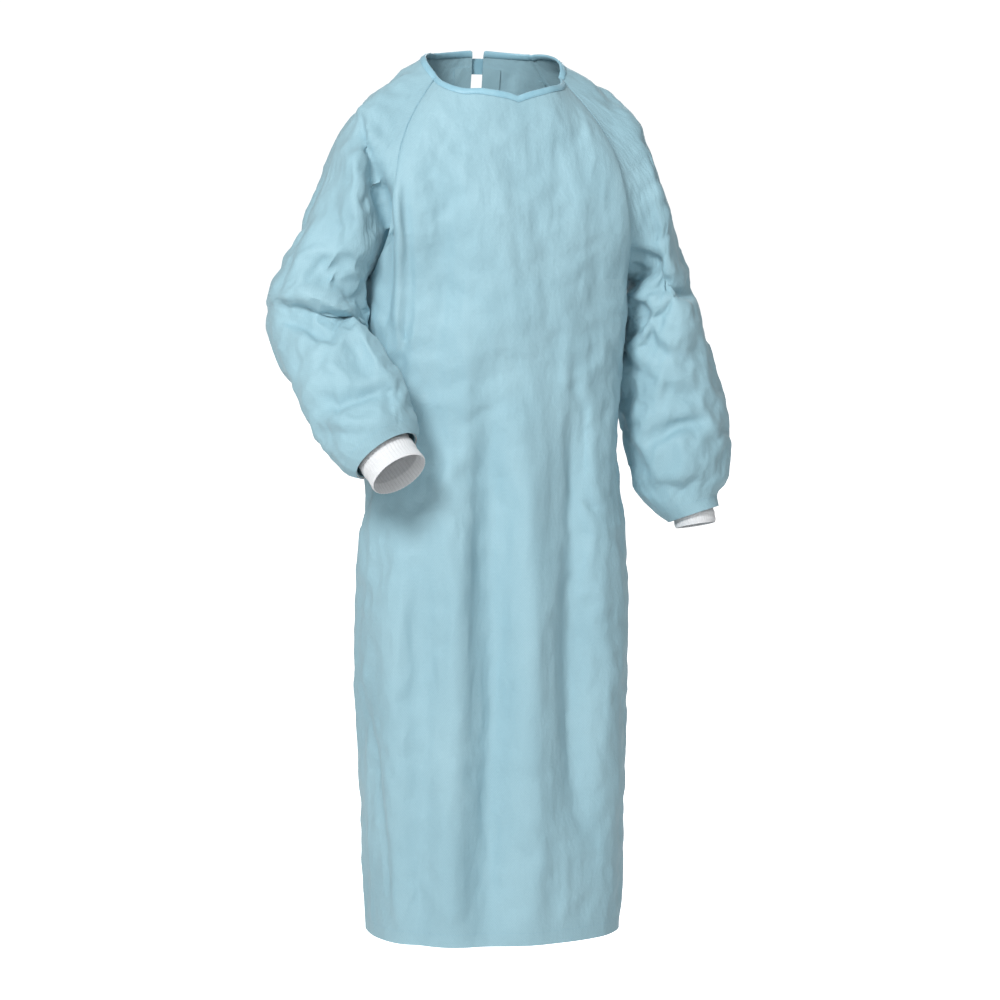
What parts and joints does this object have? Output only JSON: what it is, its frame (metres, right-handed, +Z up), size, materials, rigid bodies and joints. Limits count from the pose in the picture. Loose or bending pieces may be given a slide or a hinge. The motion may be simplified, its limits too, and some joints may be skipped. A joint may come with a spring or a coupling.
{
  "type": "isolation gown",
  "caption": "Back-opening nonwoven isolation gown with raglan sleeves, knit cuffs, bound neckline, hook-and-loop neck tab and waist ties.",
  "frame": {"origin": "middle of the neck opening, level with the points where the neck meets the shoulders", "axes": "+X towards the wearer's left, +Y towards the wearer's back, +Z up; the gown hangs down along -Z"},
  "size_m": [0.6517, 0.3281, 1.2057],
  "materials": {
    "cloth": "pale teal nonwoven laminate, soft sheen",
    "hem": "folded nonwoven, stitched",
    "binding": "smooth bias strip, slightly bluer",
    "knit": "white rib knit",
    "elastic": "flat white elastic",
    "loop_pad": "brushed loop pile",
    "hook_pad": "moulded hook tape"
  },
  "bodies": {
    "torso": {"front_panel": "cloth", "front_hem": "hem", "neck_binding": "binding", "neck_loop_pad": "loop_pad", "left_back_panel_upper": "cloth", "left_back_facing_upper": "hem", "left_raglan_tape_front": "hem", "left_raglan_tape_back": "hem", "left_side_seam_tape": "hem", "left_sleeve_cap": "cloth", "right_back_panel_upper": "cloth", "right_back_facing_upper": "hem", "right_raglan_tape_front": "hem", "right_raglan_tape_back": "hem", "right_side_seam_tape": "hem", "right_sleeve_cap": "cloth"},
    "neck_tab": {"neck_tab": "binding", "neck_hook_pad": "hook_pad"},
    "left_sleeve": {"left_sleeve_shoulder_fold": "cloth", "left_sleeve": "cloth", "left_cuff_elastic": "elastic", "left_sleeve_hem": "hem", "left_knit_cuff": "knit"},
    "left_back": {"left_back_panel_lower": "cloth", "left_back_hem": "hem", "left_back_facing_lower": "hem", "left_waist_tie_patch": "hem", "left_waist_tie": "binding"},
    "right_sleeve": {"right_sleeve_shoulder_fold": "cloth", "right_sleeve": "cloth", "right_cuff_elastic": "elastic", "right_sleeve_hem": "hem", "right_knit_cuff": "knit"},
    "right_back": {"right_back_panel_lower": "cloth", "right_back_hem": "hem", "right_back_facing_lower": "hem", "right_waist_tie_patch": "hem", "right_waist_tie": "binding"}
  },
  "joints": [
    {"name": "left_sleeve_swing", "type": "hinge", "parent": "torso", "child": "left_sleeve", "pos_m": [0.2, 0, -0.215], "axis": [0, -1, 0], "range_deg": [0, 35], "deforming": ["left_sleeve_shoulder_fold"]},
    {"name": "left_back_swing", "type": "hinge", "parent": "torso", "child": "left_back", "pos_m": [0.1346, 0.088, -0.6], "axis": [0, 0, -1], "range_deg": [0, 70]},
    {"name": "right_sleeve_swing", "type": "hinge", "parent": "torso", "child": "right_sleeve", "pos_m": [-0.2, 0, -0.215], "axis": [0, 1, 0], "range_deg": [0, 35], "deforming": ["right_sleeve_shoulder_fold"]},
    {"name": "right_back_swing", "type": "hinge", "parent": "torso", "child": "right_back", "pos_m": [-0.1346, 0.088, -0.6], "axis": [0, 0, 1], "range_deg": [0, 70]},
    {"name": "neck_tab_peel", "type": "hinge", "parent": "torso", "child": "neck_tab", "pos_m": [0.034, 0.0815, -0.006], "axis": [0, 0.2251, -0.9743], "range_deg": [0, 100]}
  ]
}
